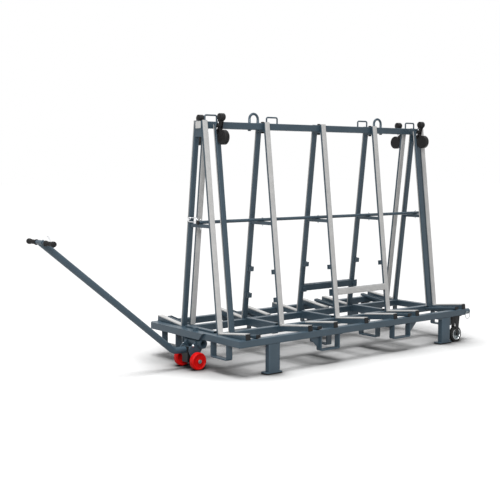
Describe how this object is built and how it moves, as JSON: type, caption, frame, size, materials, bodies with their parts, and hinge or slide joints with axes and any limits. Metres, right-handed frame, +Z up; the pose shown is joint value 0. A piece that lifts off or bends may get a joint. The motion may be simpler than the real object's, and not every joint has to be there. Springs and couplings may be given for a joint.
{
  "type": "sheet goods cart",
  "caption": "A-frame cart for sheet goods: welded base on legs, leaning rubber-faced posts, sliding clamp bars with strap ratchets, fixed rear wheels and a lever dolly with drawbar.",
  "frame": {"origin": "on the floor under the middle of the whole cart, drawbar and tow stub counted", "axes": "+X along the cart to the fixed wheels, +Y across it to the back side, +Z up"},
  "size_m": [3.6498, 1.1072, 1.8469],
  "materials": {
    "frame_paint": "dark blue-grey gloss paint",
    "strip_rubber": "light grey ribbed rubber",
    "zinc_steel": "zinc plated",
    "bright_steel": "bright plated",
    "black_plastic": "satin black",
    "pale_plastic": "satin",
    "black_rubber": "matt black",
    "black_paint": "satin black paint",
    "tyre_black": "matt",
    "red_wheel": "satin red tread"
  },
  "bodies": {
    "rack": {"side_rails": "frame_paint", "end_rails": "frame_paint", "inner_rails": "frame_paint", "cross_sills": "frame_paint", "legs": "frame_paint", "leg_pads": "black_rubber", "fork_pockets": "frame_paint", "front_posts": "frame_paint", "back_posts": "frame_paint", "rubber_strips": "strip_rubber", "foot_beams": "frame_paint", "end_caps": "black_plastic", "bar_guides": "frame_paint", "top_rail": "frame_paint", "rail_end_caps": "pale_plastic", "lifting_eyes": "frame_paint", "strap_staples": "frame_paint", "frame_ties": "frame_paint", "frame_bolts": "zinc_steel", "tie_rod": "frame_paint", "tow_stub": "frame_paint", "caster_forks": "black_paint"},
    "lynch": {"lynch_pin": "bright_steel"},
    "caster_front": {"caster_tyre_front": "tyre_black", "caster_rim_front": "zinc_steel"},
    "front_slat_body": {"front_slat": "frame_paint", "front_slat_strip": "strip_rubber"},
    "caster_back": {"caster_tyre_back": "tyre_black", "caster_rim_back": "zinc_steel"},
    "back_slat_body": {"back_slat": "frame_paint", "back_slat_strip": "strip_rubber"},
    "clamp_fl": {"clamp_bar_fl": "frame_paint", "clamp_strip_fl": "strip_rubber", "ratchet_frame_fl": "black_paint", "strap_reel_fl": "black_plastic"},
    "handle_fl": {"ratchet_handle_fl": "black_plastic"},
    "clamp_fr": {"clamp_bar_fr": "frame_paint", "clamp_strip_fr": "strip_rubber", "ratchet_frame_fr": "black_paint", "strap_reel_fr": "black_plastic"},
    "handle_fr": {"ratchet_handle_fr": "black_plastic"},
    "clamp_bl": {"clamp_bar_bl": "frame_paint", "clamp_strip_bl": "strip_rubber", "ratchet_frame_bl": "black_paint", "strap_reel_bl": "black_plastic"},
    "handle_bl": {"ratchet_handle_bl": "black_plastic"},
    "clamp_br": {"clamp_bar_br": "frame_paint", "clamp_strip_br": "strip_rubber", "ratchet_frame_br": "black_paint", "strap_reel_br": "black_plastic"},
    "handle_br": {"ratchet_handle_br": "black_plastic"},
    "swivel": {"swivel_head": "frame_paint", "saddle_collars": "frame_paint"},
    "lever": {"lever_frame": "frame_paint", "dolly_axle": "zinc_steel", "drawbar": "frame_paint", "handle_grips": "black_rubber"},
    "release": {"release_lever": "bright_steel"},
    "dolly_front": {"dolly_wheel_front": "red_wheel"},
    "dolly_back": {"dolly_wheel_back": "red_wheel"}
  },
  "joints": [
    {"name": "lynch_lift", "type": "slide", "parent": "rack", "child": "lynch", "axis": [0, -1, 0], "range_m": [0, 0.075]},
    {"name": "caster_front_turn", "type": "hinge", "parent": "rack", "child": "caster_front", "pos_m": [1.66492, -0.522, 0.0625], "axis": [0, 1, 0], "continuous": true},
    {"name": "front_slat_lift", "type": "slide", "parent": "rack", "child": "front_slat_body", "axis": [0, 0.1175, 0.9931], "range_m": [0, 0.1]},
    {"name": "caster_back_turn", "type": "hinge", "parent": "rack", "child": "caster_back", "pos_m": [1.66492, 0.522, 0.0625], "axis": [0, 1, 0], "continuous": true},
    {"name": "back_slat_lift", "type": "slide", "parent": "rack", "child": "back_slat_body", "axis": [0, -0.1175, 0.9931], "range_m": [0, 0.1]},
    {"name": "clamp_fl_slide", "type": "slide", "parent": "rack", "child": "clamp_fl", "axis": [0, -0.9931, 0.1175], "range_m": [0, 0.261]},
    {"name": "handle_fl_swing", "type": "hinge", "parent": "clamp_fl", "child": "handle_fl", "pos_m": [-0.45908, -0.10303, 1.71741], "axis": [1, 0, 0], "range_deg": [0, 60]},
    {"name": "clamp_fr_slide", "type": "slide", "parent": "rack", "child": "clamp_fr", "axis": [0, -0.9931, 0.1175], "range_m": [0, 0.261]},
    {"name": "handle_fr_swing", "type": "hinge", "parent": "clamp_fr", "child": "handle_fr", "pos_m": [1.65292, -0.10303, 1.71741], "axis": [1, 0, 0], "range_deg": [0, 60]},
    {"name": "clamp_bl_slide", "type": "slide", "parent": "rack", "child": "clamp_bl", "axis": [0, 0.9931, 0.1175], "range_m": [0, 0.261]},
    {"name": "handle_bl_swing", "type": "hinge", "parent": "clamp_bl", "child": "handle_bl", "pos_m": [-0.45908, 0.10303, 1.71741], "axis": [-1, 0, 0], "range_deg": [0, 60]},
    {"name": "clamp_br_slide", "type": "slide", "parent": "rack", "child": "clamp_br", "axis": [0, 0.9931, 0.1175], "range_m": [0, 0.261]},
    {"name": "handle_br_swing", "type": "hinge", "parent": "clamp_br", "child": "handle_br", "pos_m": [1.65292, 0.10303, 1.71741], "axis": [-1, 0, 0], "range_deg": [0, 60]},
    {"name": "steer", "type": "hinge", "parent": "rack", "child": "swivel", "pos_m": [-0.60208, 0, 0.215], "axis": [0, 0, 1], "range_deg": [-35, 35]},
    {"name": "tip", "type": "hinge", "parent": "swivel", "child": "lever", "pos_m": [-0.60208, 0, 0.1796], "axis": [0, 1, 0], "range_deg": [-30, 20]},
    {"name": "release_squeeze", "type": "hinge", "parent": "lever", "child": "release", "pos_m": [-1.72152, 0, 0.93617], "axis": [0, -1, 0], "range_deg": [0, 12], "stiffness_Nm_per_rad": 0.6, "springref_deg": -8.59},
    {"name": "dolly_front_turn", "type": "hinge", "parent": "lever", "child": "dolly_front", "pos_m": [-0.65208, -0.0995, 0.0625], "axis": [0, 1, 0], "continuous": true},
    {"name": "dolly_back_turn", "type": "hinge", "parent": "lever", "child": "dolly_back", "pos_m": [-0.65208, 0.0995, 0.0625], "axis": [0, 1, 0], "continuous": true}
  ]
}
